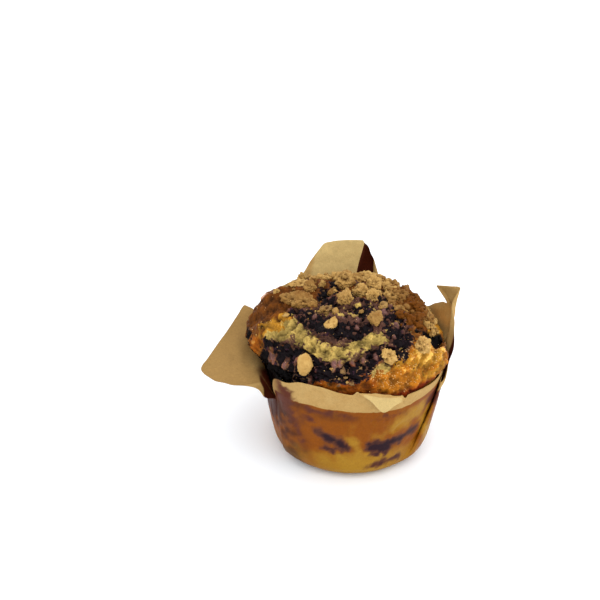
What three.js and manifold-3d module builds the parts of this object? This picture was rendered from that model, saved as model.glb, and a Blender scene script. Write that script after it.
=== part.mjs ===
// A streusel-topped berry muffin in the square of parchment it was baked in.
// Millimetres, +Z up, origin at the centre of the case's flat bottom. The side that faces -Y is the one whose
// paper corner is folded down, and +X is to its right. Azimuths run anticlockwise from +X, seen from above.
import * as THREE from "three";
import { mergeVertices } from "three/addons/utils/BufferGeometryUtils.js";
import Module from "manifold-3d";

const wasm = await Module();
wasm.setup();

// Driving dimensions
const wallFoot = 32.4; // outside radius of the case, its lean run down to the table
const wallLean = 0.17; // radius that the wall gains per millimetre of height
const cornerRadius = 6.5; // round between the bottom and the wall
const paper = 0.4; // the paper's thickness as a solid
const layer = 1.0; // the rise from the inner to the middle, and the middle to the outer layer of a pleat
const pleatStart = 10; // height at which a pleat's layers have come fully apart
const wallRows = 5; // rows of facets between the rounded corner and the hinge of the loose paper
const looseRows = 4; // rows of facets from that hinge to the sheet's edge
const looseRim = 5; // loose height of the paper where its edge stays on the wall
const squash = { azimuth: 188, span: 50, inward: 1.8 }; // the wall's flatter side, under the bent corner
const rimRef = 46; // height at which a pleat has its stated azimuths
const gap = 0.3; // clearance between separate pieces
const crustLine = 44; // height at which the cake leaves the paper
const domeTop = 69.5; // height of the dome without its swellings and crumbs
const domePower = 2.4; // fullness of the dome: 2 is an ellipsoid, more has steeper shoulders
// How far the crust stands out over the case, and half the azimuth each place takes up
const overhangs = [
  { azimuth: 180, span: 38, out: 7.6 }, // over the corner that is bent down
  { azimuth: 206, span: 24, out: 2.4 },
  { azimuth: 340, span: 24, out: 2.6 },
];

const radians = Math.PI / 180;
const smooth = (t) => {
  const c = Math.min(1, Math.max(0, t));
  return c * c * (3 - 2 * c);
};
// From 0 to 1 and back to 0 within span degrees of azimuth on either side of the middle
const windowAt = (azimuth, middle, span) => {
  const off = Math.abs(((((azimuth - middle) % 360) + 540) % 360) - 180) / span;
  return off < 1 ? Math.cos((off * Math.PI) / 2) ** 2 : 0;
};
const wallRadius = (z, azimuth) => {
  const pressed = squash.inward * windowAt(azimuth, squash.azimuth, squash.span) * smooth((z - 16) / 20);
  return wallFoot + wallLean * z - pressed;
};
const polar = (r, azimuth, z) => [r * Math.cos(azimuth * radians), r * Math.sin(azimuth * radians), z];

// Seeded random numbers from 0 to 1
function randomFrom(seed) {
  let state = seed;
  return () => {
    state = (state * 16807) % 2147483647;
    return state / 2147483647;
  };
}

// ---- The paper case -------------------------------------------------------------------------------------
// A point of the paper's middle surface on the wall, at height z of the line from azimuth foot to head.
function onWall(foot, head, lift, z) {
  const azimuth = foot + (head - foot) * Math.min(1, z / rimRef);
  const bent = Math.min(1, z / cornerRadius);
  const round = cornerRadius * (1 - Math.sqrt(1 - (1 - bent) * (1 - bent)));
  const r = wallRadius(z, azimuth) - paper / 2 + layer * lift * smooth(z / pleatStart) - round;
  return new THREE.Vector3(...polar(r, azimuth, z + (paper / 2) * (1 - bent)));
}

// A station is one line of the paper from the bottom up to the sheet's edge: foot and head are its azimuths
// at the bottom and at rimRef, and lift is how many layers it lies outside the cake. It ends on the wall at
// height z, or leaves the wall at that height and ends at edge, bowed outward by bow halfway.
function station(foot, head, lift, z, edge, bow = 0) {
  const hinge = edge ? z : z - looseRim;
  const end = edge ? new THREE.Vector3(...edge) : onWall(foot, head, lift, z);
  const reach = end.sub(onWall(foot, head, lift, hinge)).toArray();
  return { foot, head, lift, hinge, reach, bow };
}

// A pleat: the paper runs on under the next panel to head + width, turns back to head, and goes on as that
// panel.
function pleat(foot, head, width, zInner, zOuter, edges = []) {
  const turn = 2.2;
  const low = Math.min(zInner, zOuter) - 2;
  return [
    station(foot - 6, head + width - turn, 0, zInner),
    station(foot - 4, head + width, 0.35, (zInner + low) / 2),
    station(foot - 2, head + width - turn, 0.7, low),
    station(foot + 2, head + turn, 1.3, low),
    station(foot + 4, head, 1.65, (zOuter + low) / 2, edges[0]),
    station(foot + 6, head + turn, 2, zOuter, edges[1]),
  ];
}

const stations = [
  // left panel, whose corner is bent out and down
  ...pleat(150, 149, 22, 43, 44, [polar(46, 151, 46.5), [-47.5, 23.8, 50.5]]),
  station(166, 160, 1.7, 42.5, [-49.9, 17.2, 49.5]),
  station(172, 168, 1.3, 42, [-52.1, 10.5, 48.5]),
  station(177, 176, 0.9, 41.5, [-54.6, 3, 47.5]),
  station(182, 183, 0.5, 41, [-57.2, -4.2, 46.5]),
  station(186, 189, 0.3, 40.5, [-59.8, -11.6, 45.5]),
  station(190, 194, 0.1, 40, [-61.8, -18.8, 45]),
  station(193, 198, 0, 40, [-59.2, -23.1, 44.5]),
  station(196, 202, 0, 39.5, [-55.2, -25.7, 44]),
  station(200, 206, 0, 38.5, [-48.9, -27.5, 43.5]),
  station(203, 209, 0, 37, [-43, -26, 41.8]),
  station(204.3, 211, 0, 35, [-37.7, -23.6, 38.4]),
  station(205.3, 213, 0, 34, [-34.9, -25, 36]),
  station(206.2, 219, 0, 33, polar(39.2, 219, 35.2)),
  // front panel, whose corner is folded outward and hangs down on its right
  ...pleat(213, 220, 20, 38, 47),
  station(227, 233, 1.9, 49.5),
  station(237, 243, 1.2, 52.4),
  station(248, 254, 0.4, 52),
  station(257, 263, 0, 50),
  station(264, 271, 0, 49.2),
  station(267.5, 274.5, 0, 49.6, polar(41.6, 274.5, 50.8)),
  station(273, 281, 0, 49, polar(42, 281.5, 46.6)),
  station(279, 288, 0, 48, polar(41.6, 289, 40.1)),
  station(284, 295.5, 0, 46, polar(41.4, 295.5, 42.2)),
  station(288, 302, 0, 44.6, polar(41.4, 302, 43.8)),
  station(291.5, 306.5, 0, 44.4),
  station(297, 316, 0, 44.2),
  station(302, 327, 0, 43.2),
  // right panel, whose corner stands up, its tip curled in
  ...pleat(311, 343, 20, 41.5, 40),
  station(325, 352, 1.7, 41),
  station(334, 357, 1.3, 42, [42.7, -0.8, 49]),
  station(343, 361, 0.9, 43, [42.9, 3, 57]),
  station(350, 364, 0.5, 44, [41.4, 5, 64]),
  station(355, 366.5, 0.3, 45, [44.3, 8, 71]),
  station(359, 368.5, 0.2, 46, [39.6, 10.5, 70], 3),
  station(363, 370.5, 0.1, 46, [35, 12.5, 69.2], 4.8),
  station(366, 372.5, 0, 46, [39.9, 12, 61.3], 1.2),
  station(373, 380, 0, 46, [38.6, 16, 59.4]),
  station(382, 389, 0, 46, [36.1, 20.5, 56]),
  station(394, 400, 0, 45, [31.6, 27, 50.4]),
  station(409, 413, 0, 44, [25.2, 33.6, 48.8]),
  station(420, 423, 0, 47),
  // back panel: an open pleat that stands out at its right, and the corner beside it
  station(428, 431, 0, 48, polar(42.6, 71, 50.5)),
  station(431, 434, 0.4, 48, [12, 43, 54.3]),
  station(434, 437, 2, 48, [10, 45, 59.8]),
  station(437, 441, 3.6, 48, [7.7, 46.7, 64.5], 1.5),
  station(440, 446, 3.6, 48, [6, 46.8, 68.4], 2),
  station(443, 450, 0.6, 48, [4.6, 46.9, 70.6]),
  station(447, 453, 0.2, 48, [3.4, 47, 71.8]),
  station(453, 457, 0, 49, [0, 47.2, 71.7]),
  station(459, 462, 0, 49, [-4.6, 47.2, 71.5]),
  station(466, 468, 0, 50, [-9.6, 46.5, 71.2]),
  station(472, 473, 0, 50, [-13.1, 46, 70.4]),
  station(477, 478, 0, 50, [-16.2, 44, 67.3]),
  station(482, 483, 0, 50, [-19.6, 41, 63.2]),
  station(488, 489, 0, 50, [-25.1, 36, 57.2]),
  station(493, 496, 0, 47, polar(44, 137, 55.5)),
  station(497.5, 502, 0, 44, polar(43.2, 143, 52.5)),
  station(501, 511, 0, 43.4),
];

// Shape-preserving cubic through the stations, one channel at a time, closed after one turn.
function throughStations(channel, turnGain) {
  const n = stations.length;
  const value = (i) => channel(stations[((i % n) + n) % n]) + Math.floor(i / n) * turnGain;
  const step = (i) => value(i + 1) - value(i);
  const slope = (i) => {
    const a = step(i - 1);
    const b = step(i);
    return a * b <= 0 ? 0 : (2 * a * b) / (a + b);
  };
  return (u) => {
    const i = Math.floor(u);
    const t = u - i;
    const d = step(i);
    const s0 = slope(i);
    const s1 = slope(i + 1);
    return value(i) + t * (s0 + t * (3 * d - 2 * s0 - s1 + t * (s0 + s1 - 2 * d)));
  };
}
const footAt = throughStations((s) => s.foot, 360);
const headAt = throughStations((s) => s.head, 360);
const liftAt = throughStations((s) => s.lift, 0);
const hingeAt = throughStations((s) => s.hinge, 0);
const bowAt = throughStations((s) => s.bow, 0);
const reachAt = [0, 1, 2].map((k) => throughStations((s) => s.reach[k], 0));

// The line u as points from the bottom's edge to the sheet's edge.
function paperLine(u) {
  const onLine = (z) => onWall(footAt(u), headAt(u), liftAt(u), z);
  const points = [0, 0.08, 0.3, 0.6, 1].map((bend) => onLine(cornerRadius * bend));
  const hinge = hingeAt(u);
  for (let i = 1; i <= wallRows; i++) {
    points.push(onLine(cornerRadius + ((hinge - cornerRadius) * i) / wallRows));
  }
  const from = onLine(hinge);
  const reach = new THREE.Vector3(...reachAt.map((f) => f(u)));
  const start = from.clone().sub(onLine(hinge - 1)).setLength(reach.length() * 0.6);
  const bow = new THREE.Vector3(...polar(4 * bowAt(u), headAt(u), 0));
  for (let i = 1; i <= looseRows; i++) {
    const t = i / looseRows;
    const p = from.clone().addScaledVector(start, t * (1 - t) * (1 - t));
    p.addScaledVector(bow, t * (1 - t));
    points.push(p.addScaledVector(reach, (t + smooth(t)) / 2));
  }
  return points;
}

// The case as a closed shell: the middle surface moved half the paper's thickness both ways, and joined at
// the rim.
function caseGeometry() {
  const rows = 4 + wallRows + looseRows;
  const widest = 8.5;
  const lines = [];
  for (let i = 0; i < stations.length; i++) {
    const turn = Math.abs(headAt(i + 1) - headAt(i));
    const cuts = Math.max(1, Math.ceil(turn / widest));
    for (let k = 0; k < cuts; k++) lines.push(paperLine(i + k / cuts));
  }
  const n = lines.length;
  const middle = new THREE.Vector3(0, 0, paper / 2);
  const point = (i, j) => {
    const line = lines[(i + n) % n];
    return j < 0 ? line[0].clone().lerp(middle, 0.45) : line[j];
  };
  const normal = (i, j) => {
    const across = point(i + 1, j).clone().sub(point(i - 1, j));
    const up = point(i, Math.min(rows, j + 1)).clone().sub(point(i, j - 1));
    return across.cross(up).normalize();
  };
  const positions = [];
  const levels = rows + 2;
  for (const side of [1, -1]) {
    for (let i = 0; i < n; i++) {
      for (let j = -1; j <= rows; j++) {
        const away = j < 1 ? new THREE.Vector3(0, 0, -1) : normal(i, j);
        positions.push(...point(i, j).clone().addScaledVector(away, (side * paper) / 2).toArray());
      }
    }
  }
  const middleOut = positions.length / 3;
  positions.push(0, 0, 0, 0, 0, paper);
  const index = [];
  const at = (i, level, inside) => inside * n * levels + (i % n) * levels + level;
  for (let i = 0; i < n; i++) {
    index.push(middleOut, at(i + 1, 0, 0), at(i, 0, 0));
    index.push(middleOut + 1, at(i, 0, 1), at(i + 1, 0, 1));
    for (let level = 0; level < levels - 1; level++) {
      for (const inside of [0, 1]) {
        const [a, b] = inside ? [i + 1, i] : [i, i + 1];
        const low = [at(a, level, inside), at(b, level, inside)];
        const high = [at(a, level + 1, inside), at(b, level + 1, inside)];
        if (inside) index.push(low[0], low[1], high[0], low[1], high[1], high[0]);
        else index.push(low[0], low[1], high[1], low[0], high[1], high[0]);
      }
    }
    const top = levels - 1;
    index.push(at(i, top, 0), at(i + 1, top, 0), at(i + 1, top, 1));
    index.push(at(i, top, 0), at(i + 1, top, 1), at(i, top, 1));
  }
  const geometry = new THREE.BufferGeometry();
  geometry.setAttribute("position", new THREE.Float32BufferAttribute(positions, 3));
  geometry.setIndex(index);
  return geometry;
}

// ---- The cake -------------------------------------------------------------------------------------------
// Broad swellings and hollows of the dome: place from above, how far they stand up, and how wide they are.
const swellings = [
  { at: [24, -29], rise: 2.6, wide: 10 }, // smooth crust lobe at the front right
  { at: [34, -10], rise: -7, wide: 5 }, // hollow between that lobe and the next
  { at: [36, 9], rise: -5, wide: 8 }, // sunken shoulder at the right
  { at: [22, -4], rise: -2.4, wide: 7 }, // trough behind the berry patch
  { at: [8, -14], rise: 1.6, wide: 8 }, // berry patch
  { at: [-8, -24], rise: 1.2, wide: 9 }, // torn crumb in front of it
  { at: [-30, -2], rise: -1.6, wide: 9 }, // sunken middle of the left shoulder
  { at: [-35, 8], rise: 4.2, wide: 9 }, // full back of the left shoulder
  { at: [-25, 16], rise: 2.2, wide: 8 },
  { at: [-20, 25], rise: 2, wide: 8 },
  { at: [20, 15], rise: -1.4, wide: 8 }, // lower back at the right
  { at: [-43, -5], rise: -6, wide: 3.6 }, // notch in the rim at the left
  { at: [-40, -12], rise: 3.5, wide: 4 }, // small crust lobe in front of it
  { at: [-14, -37], rise: 1.2, wide: 8 }, // dark berry band at the front left
  { at: [0, 26], rise: -0.6, wide: 12 }, // back of the dome
];

// Crags of the torn and baked surface, strewn over the dome.
const cragCount = 130;
const crags = [];
const cragRandom = randomFrom(5171);
while (crags.length < cragCount) {
  const at = [(2 * cragRandom() - 1) * 44, (2 * cragRandom() - 1) * 44];
  const wide = 2.2 + 2.8 * cragRandom();
  const rise = (2 * cragRandom() - 1) * 0.42 * wide;
  if (Math.hypot(...at) < 40) crags.push({ at, rise, wide });
}

const overhangAt = (azimuth) =>
  overhangs.reduce((sum, { azimuth: middle, span, out }) => sum + out * windowAt(azimuth, middle, span), 0);
const clear = paper + gap + 0.2; // from the outside of the case's wall to the cake
const crustRadius = (azimuth) => wallRadius(crustLine, azimuth) - clear;

function domeHeight(x, y) {
  const azimuth = Math.atan2(y, x) / radians;
  const over = overhangAt(azimuth);
  const share = Math.min(1, Math.hypot(x, y) / (crustRadius(azimuth) + over));
  const base = crustLine + 0.9 * over;
  let z = base + (domeTop - base) * Math.pow(1 - Math.pow(share, domePower), 1 / domePower);
  for (const { at, rise, wide } of [...swellings, ...crags]) {
    const far = ((x - at[0]) ** 2 + (y - at[1]) ** 2) / (wide * wide);
    if (far < 9) z += rise * Math.exp(-far) * smooth((1 - share) * 8);
  }
  return z;
}

// The dome's outward direction at a place seen from above.
function domeNormal(x, y) {
  const d = 0.4;
  const dx = (domeHeight(x + d, y) - domeHeight(x - d, y)) / (2 * d);
  const dy = (domeHeight(x, y + d) - domeHeight(x, y - d)) / (2 * d);
  return new THREE.Vector3(-dx, -dy, 1).normalize();
}

function solidOf(geometry) {
  const bare = geometry.clone();
  for (const name of ["normal", "uv"]) bare.deleteAttribute(name);
  const merged = mergeVertices(bare, 1e-4);
  const mesh = new wasm.Mesh({
    numProp: 3,
    vertProperties: merged.attributes.position.array,
    triVerts: new Uint32Array(merged.index.array),
  });
  return new wasm.Manifold(mesh);
}

function geometryOf(solid) {
  const { vertProperties, triVerts } = solid.getMesh();
  const geometry = new THREE.BufferGeometry();
  geometry.setAttribute("position", new THREE.BufferAttribute(vertProperties, 3));
  geometry.setIndex(new THREE.BufferAttribute(triVerts, 1));
  return geometry;
}

// The bare cake, its top moved out by grow: rings from the middle of the bottom to the middle of the top.
function cakeSolid(grow) {
  const around = 60;
  const floor = paper + gap;
  const foot = wallFoot - cornerRadius;
  const corner = cornerRadius - clear;
  const rings = [{ r: foot / 2, z: floor }, { r: foot, z: floor }];
  for (const bend of [30, 60, 90]) {
    const a = bend * radians;
    rings.push({ r: foot + corner * Math.sin(a), z: floor + (cornerRadius - floor) * (1 - Math.cos(a)) });
  }
  for (const share of [0.3, 0.65, 1]) rings.push({ z: cornerRadius + (crustLine - cornerRadius) * share });
  for (const lip of [0.5, 1]) rings.push({ lip });
  const domeShares = [0.985, 0.95, 0.9, 0.84, 0.77, 0.7, 0.62, 0.54, 0.46, 0.38, 0.3, 0.22, 0.14, 0.07];
  for (const share of domeShares) rings.push({ share });
  const positions = [];
  for (const { r, z, lip, share } of rings) {
    for (let i = 0; i < around; i++) {
      const azimuth = (i / around) * 360;
      const over = overhangAt(azimuth);
      const crust = crustRadius(azimuth);
      if (share) {
        const [x, y] = polar((crust + over) * share, azimuth, 0);
        const p = new THREE.Vector3(x, y, domeHeight(x, y)).addScaledVector(domeNormal(x, y), grow);
        positions.push(...p.toArray());
      } else if (lip) {
        const rise = 0.4 * lip + 0.9 * over * lip;
        positions.push(...polar(crust + over * Math.sqrt(lip), azimuth, crustLine + rise));
      } else positions.push(...polar(r ?? wallRadius(z, azimuth) - clear, azimuth, z));
    }
  }
  const bottom = positions.length / 3;
  positions.push(0, 0, floor, 0, 0, domeHeight(0, 0) + grow);
  const index = [];
  for (let i = 0; i < around; i++) {
    const next = (i + 1) % around;
    index.push(bottom, next, i);
    for (let ring = 0; ring < rings.length - 1; ring++) {
      const [a, b] = [ring * around + i, ring * around + next];
      index.push(a, b, b + around, a, b + around, a + around);
    }
    const last = (rings.length - 1) * around;
    index.push(bottom + 1, last + i, last + next);
  }
  const geometry = new THREE.BufferGeometry();
  geometry.setAttribute("position", new THREE.Float32BufferAttribute(positions, 3));
  geometry.setIndex(index);
  return solidOf(geometry);
}

// ---- Streusel -------------------------------------------------------------------------------------------
// An uneven nugget of baked streusel, as wide, deep and tall as size says, standing on the dome at x, y.
function nugget([x, y], size, turn, sink, detail, seed) {
  const random = randomFrom(seed);
  const shape = new THREE.IcosahedronGeometry(1, detail);
  for (const name of ["normal", "uv"]) shape.deleteAttribute(name);
  const merged = mergeVertices(shape, 1e-4);
  const p = merged.attributes.position;
  const up = domeNormal(x, y);
  const seat = new THREE.Vector3(x, y, domeHeight(x, y)).addScaledVector(up, size[2] / 2 - sink);
  const spin = new THREE.Quaternion().setFromAxisAngle(new THREE.Vector3(0, 0, 1), turn * radians);
  const tilt = new THREE.Quaternion().setFromUnitVectors(new THREE.Vector3(0, 0, 1), up).multiply(spin);
  const half = new THREE.Vector3(...size).multiplyScalar(0.5);
  for (let i = 0; i < p.count; i++) {
    const v = new THREE.Vector3().fromBufferAttribute(p, i).multiplyScalar(0.86 + 0.28 * random());
    v.multiply(half).applyQuaternion(tilt).add(seat);
    p.setXYZ(i, v.x, v.y, v.z);
  }
  return solidOf(merged);
}

// Nuggets as large as a berry: each is its own piece.
const largeNuggets = [
  { name: "nugget_left_slab", at: [-22.1, -0.1], size: [16.4, 8, 5.6], turn: -12 },
  { name: "nugget_left_curl", at: [-18.2, 8.9], size: [5.8, 5, 4.6], turn: 30 },
  { name: "nugget_crest_left", at: [-3.3, 11.8], size: [7.2, 7, 8.4], turn: 20 },
  { name: "nugget_crest_low", at: [-3.1, -2.3], size: [6.8, 5.8, 5.8], turn: 60 },
  { name: "nugget_crest_middle", at: [2.6, 5.4], size: [6.4, 6, 6.6], turn: 40 },
  { name: "nugget_crest_right", at: [7.8, 13.8], size: [6.4, 6, 6.6], turn: 70 },
  { name: "nugget_crest_edge", at: [7.9, 0.2], size: [5.4, 5, 5.4], turn: 100 },
  { name: "nugget_top_left", at: [-10.6, -6], size: [6.6, 5, 4.4], turn: 10 },
  { name: "nugget_front_oval", at: [-17.7, -31.2], size: [6.4, 9, 5], turn: -25 },
  { name: "nugget_front_right", at: [13.9, -29.6], size: [6, 5.4, 5.2], turn: 15 },
  { name: "nugget_hollow_right", at: [26.9, -22.5], size: [7.2, 6.4, 6.6], turn: -40 },
  { name: "nugget_berry_patch", at: [-8.4, -18.6], size: [5, 4.2, 3.8], turn: 30 },
  { name: "nugget_patch_right", at: [9.5, -16.3], size: [6.2, 5.6, 5], turn: 75 },
];

// How thickly the fine streusel lies at a place seen from above, from 0 to 1.
function streuselCover(x, y) {
  const back = smooth((y + 2 + 0.3 * x) / 10);
  const rightTrough = smooth(1.4 - Math.hypot(x - 25, y + 1) / 12);
  const darkHollow = smooth(1.4 - Math.hypot(x + 12, y - 3) / 5);
  return Math.max(back, rightTrough) * (1 - darkHollow);
}

// Fine streusel that is baked onto the cake: small nuggets strewn by that cover, clear of the large ones.
function strewn() {
  const random = randomFrom(20417);
  const reach = crustRadius(0) * 0.9;
  const placed = [];
  const wanted = 70;
  for (let tries = 0; placed.length < wanted && tries < 6000; tries++) {
    const x = (2 * random() - 1) * reach;
    const y = (2 * random() - 1) * reach;
    const wide = 2.6 + 2.6 * random() * random();
    const turn = 360 * random();
    if (Math.hypot(x, y) > reach || random() > streuselCover(x, y)) continue;
    const nearLarge = largeNuggets.some(
      ({ at, size }) => Math.hypot(x - at[0], y - at[1]) < Math.max(size[0], size[1]) / 2 + wide * 0.62 + gap,
    );
    const nearPlaced = placed.some((p) => Math.hypot(x - p.x, y - p.y) < (wide + p.wide) * 0.46);
    if (nearLarge || nearPlaced) continue;
    placed.push({ x, y, wide, turn, seed: 100 + tries });
  }
  return placed;
}

function cakeWithStreusel() {
  const crumbs = strewn().map(({ x, y, wide, turn, seed }) =>
    nugget([x, y], [wide, wide * 0.85, wide * 0.9], turn, wide * 0.35, 0, seed),
  );
  return crumbs.reduce((cake, crumb) => cake.add(crumb), cakeSolid(0));
}

// ---- The whole ------------------------------------------------------------------------------------------
const muffin = new THREE.Group();
const bakedCake = new THREE.MeshStandardMaterial({ color: 0xb5782f, roughness: 0.85, metalness: 0 });
const parchment = new THREE.MeshStandardMaterial({ color: 0xbb8a4e, roughness: 0.7, metalness: 0 });
const streusel = new THREE.MeshStandardMaterial({ color: 0xc9a25c, roughness: 0.9, metalness: 0 });

function add(name, geometry, material) {
  const mesh = new THREE.Mesh(geometry, material);
  mesh.name = name;
  muffin.add(mesh);
}

add("paper_case", caseGeometry(), parchment);
add("cake", geometryOf(cakeWithStreusel()), bakedCake);
const seatCut = cakeSolid(gap);
largeNuggets.forEach(({ name, at, size, turn }, i) => {
  const whole = nugget(at, size, turn, 1.2, 1, 700 + 13 * i);
  add(name, geometryOf(whole.subtract(seatCut)), streusel);
});

export default muffin;
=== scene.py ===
import math
import bmesh
import bpy
import numpy as np
from mathutils import Matrix, Vector, noise
from mathutils.bvhtree import BVHTree


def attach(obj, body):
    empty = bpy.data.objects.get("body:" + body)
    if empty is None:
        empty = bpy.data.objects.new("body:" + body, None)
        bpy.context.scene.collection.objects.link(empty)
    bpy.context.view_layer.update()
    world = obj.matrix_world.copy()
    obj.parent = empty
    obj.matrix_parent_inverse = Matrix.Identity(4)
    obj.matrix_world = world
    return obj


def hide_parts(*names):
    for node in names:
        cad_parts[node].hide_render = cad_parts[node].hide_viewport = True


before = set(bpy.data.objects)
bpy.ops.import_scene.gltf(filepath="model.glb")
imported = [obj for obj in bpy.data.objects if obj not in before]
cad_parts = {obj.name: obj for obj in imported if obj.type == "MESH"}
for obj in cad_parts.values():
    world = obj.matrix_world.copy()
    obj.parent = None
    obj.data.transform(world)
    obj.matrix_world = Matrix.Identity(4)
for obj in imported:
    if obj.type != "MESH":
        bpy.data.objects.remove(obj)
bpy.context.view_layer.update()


# ---- The paper case ---------------------------------------------------------------------------------------
# One square of greaseproof parchment, pressed round the cake so that its four sides fold into pleats and its
# corners stand free. The cake's fat has soaked the wall to a translucent amber and the filling shows through.
MM = 0.001  # metres in a millimetre: shapes are worked out in millimetres
wall_foot = 32.4  # outside radius of the case, its lean run down to the table
wall_lean = 0.17  # radius that the wall gains per millimetre of height
corner_radius = 6.5  # round between the bottom and the wall
paper = 0.4  # thickness that the folded paper takes up
layer = 1.0  # the rise from one layer of a pleat to the next
pleat_start = 10  # height at which a pleat's layers have come fully apart
loose_rim = 5  # loose height of the paper where its edge stays on the wall
squash_azimuth, squash_span, squash_inward = 188, 50, 1.8  # flatter side of the wall
rim_ref = 46  # height at which a pleat has its stated azimuths
flat_end, bend_end, wall_end = 0.09, 0.16, 0.56  # shares of the way out where bottom, bend and wall end


def smooth(t):
    """An even step: 0 up to 0, 1 from 1 on, and a soft slope between."""
    c = np.clip(t, 0, 1)
    return c * c * (3 - 2 * c)


def window(azimuth, middle, span):
    """From 0 to 1 and back to 0 within span degrees on either side of the middle."""
    off = np.abs((azimuth - middle + 180) % 360 - 180) / span
    return np.cos(np.minimum(off, 1) * math.pi / 2) ** 2


def wall_radius(z, azimuth):
    """Outside radius of the case, a little flatter on one side."""
    pressed = squash_inward * window(azimuth, squash_azimuth, squash_span) * smooth((z - 16) / 20)
    return wall_foot + wall_lean * z - pressed


def polar(r, azimuth, z):
    """The x, y and z of a place beside the axis."""
    return [r * math.cos(math.radians(azimuth)), r * math.sin(math.radians(azimuth)), z]


def on_wall(foot, head, lift, z):
    """The paper at height z of the line that runs from azimuth foot up to azimuth head."""
    azimuth = foot + (head - foot) * np.minimum(1, z / rim_ref)
    bent = np.minimum(1, z / corner_radius)
    rounding = corner_radius * (1 - np.sqrt(1 - (1 - bent) ** 2))
    r = wall_radius(z, azimuth) - paper / 2 + layer * lift * smooth(z / pleat_start) - rounding
    turned = np.radians(azimuth)
    return np.stack([r * np.cos(turned), r * np.sin(turned), z + paper / 2 * (1 - bent)], -1)


def station(foot, head, lift, z, edge=None, bow=0):
    """A line of the paper: its azimuths, layers off the cake, hinge, and its reach and bow from there."""
    hinge = z if edge else z - loose_rim
    end = np.array(edge) if edge else on_wall(foot, head, lift, z)
    return [foot, head, lift, hinge, *(end - on_wall(foot, head, lift, hinge)), bow]


def pleat(foot, head, width, z_inner, z_outer, edges=(None, None)):
    """The paper runs on under the next panel to head + width, and turns back to head to be that panel."""
    turn = 2.2
    low = min(z_inner, z_outer) - 2
    return [
        station(foot - 6, head + width - turn, 0, z_inner),
        station(foot - 4, head + width, 0.35, (z_inner + low) / 2),
        station(foot - 2, head + width - turn, 0.7, low),
        station(foot + 2, head + turn, 1.3, low),
        station(foot + 4, head, 1.65, (z_outer + low) / 2, edges[0]),
        station(foot + 6, head + turn, 2, z_outer, edges[1]),
    ]


stations = np.array([
    # left panel, whose corner is bent out and down
    *pleat(150, 149, 22, 43, 44, [polar(46, 151, 46.5), [-47.5, 23.8, 50.5]]),
    station(166, 160, 1.7, 42.5, [-49.9, 17.2, 49.5]),
    station(172, 168, 1.3, 42, [-52.1, 10.5, 48.5]),
    station(177, 176, 0.9, 41.5, [-54.6, 3, 47.5]),
    station(182, 183, 0.5, 41, [-57.2, -4.2, 46.5]),
    station(186, 189, 0.3, 40.5, [-59.8, -11.6, 45.5]),
    station(190, 194, 0.1, 40, [-61.8, -18.8, 45]),
    station(193, 198, 0, 40, [-59.2, -23.1, 44.5]),
    station(196, 202, 0, 39.5, [-55.2, -25.7, 44]),
    station(200, 206, 0, 38.5, [-48.9, -27.5, 43.5]),
    station(203, 209, 0, 37, [-43, -26, 41.8]),
    station(204.3, 211, 0, 35, [-37.7, -23.6, 38.4]),
    station(205.3, 213, 0, 34, [-34.9, -25, 36]),
    station(206.2, 219, 0, 33, polar(39.2, 219, 35.2)),
    # front panel, whose corner is folded outward and hangs down on its right
    *pleat(213, 220, 20, 38, 47),
    station(227, 233, 1.9, 49.5),
    station(237, 243, 1.2, 52.4),
    station(248, 254, 0.4, 52),
    station(257, 263, 0, 50),
    station(264, 271, 0, 49.2),
    station(267.5, 274.5, 0, 49.6, polar(41.6, 274.5, 50.8)),
    station(273, 281, 0, 49, polar(42, 281.5, 46.6)),
    station(279, 288, 0, 48, polar(41.6, 289, 40.1)),
    station(284, 295.5, 0, 46, polar(41.4, 295.5, 42.2)),
    station(288, 302, 0, 44.6, polar(41.4, 302, 43.8)),
    station(291.5, 306.5, 0, 44.4),
    station(297, 316, 0, 44.2),
    station(302, 327, 0, 43.2),
    # right panel, whose corner stands up, its tip curled in
    *pleat(311, 343, 20, 41.5, 40),
    station(325, 352, 1.7, 41),
    station(334, 357, 1.3, 42, [42.7, -0.8, 49]),
    station(343, 361, 0.9, 43, [42.9, 3, 57]),
    station(350, 364, 0.5, 44, [41.4, 5, 64]),
    station(355, 366.5, 0.3, 45, [44.3, 8, 71]),
    station(359, 368.5, 0.2, 46, [39.6, 10.5, 70], 3),
    station(363, 370.5, 0.1, 46, [35, 12.5, 69.2], 4.8),
    station(366, 372.5, 0, 46, [39.9, 12, 61.3], 1.2),
    station(373, 380, 0, 46, [38.6, 16, 59.4]),
    station(382, 389, 0, 46, [36.1, 20.5, 56]),
    station(394, 400, 0, 45, [31.6, 27, 50.4]),
    station(409, 413, 0, 44, [25.2, 33.6, 48.8]),
    station(420, 423, 0, 47),
    # back panel: an open pleat that stands out at its right, and the corner beside it
    station(428, 431, 0, 48, polar(42.6, 71, 50.5)),
    station(431, 434, 0.4, 48, [12, 43, 54.3]),
    station(434, 437, 2, 48, [10, 45, 59.8]),
    station(437, 441, 3.6, 48, [7.7, 46.7, 64.5], 1.5),
    station(440, 446, 3.6, 48, [6, 46.8, 68.4], 2),
    station(443, 450, 0.6, 48, [4.6, 46.9, 70.6]),
    station(447, 453, 0.2, 48, [3.4, 47, 71.8]),
    station(453, 457, 0, 49, [0, 47.2, 71.7]),
    station(459, 462, 0, 49, [-4.6, 47.2, 71.5]),
    station(466, 468, 0, 50, [-9.6, 46.5, 71.2]),
    station(472, 473, 0, 50, [-13.1, 46, 70.4]),
    station(477, 478, 0, 50, [-16.2, 44, 67.3]),
    station(482, 483, 0, 50, [-19.6, 41, 63.2]),
    station(488, 489, 0, 50, [-25.1, 36, 57.2]),
    station(493, 496, 0, 47, polar(44, 137, 55.5)),
    station(497.5, 502, 0, 44, polar(43.2, 143, 52.5)),
    station(501, 511, 0, 43.4),
])


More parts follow.
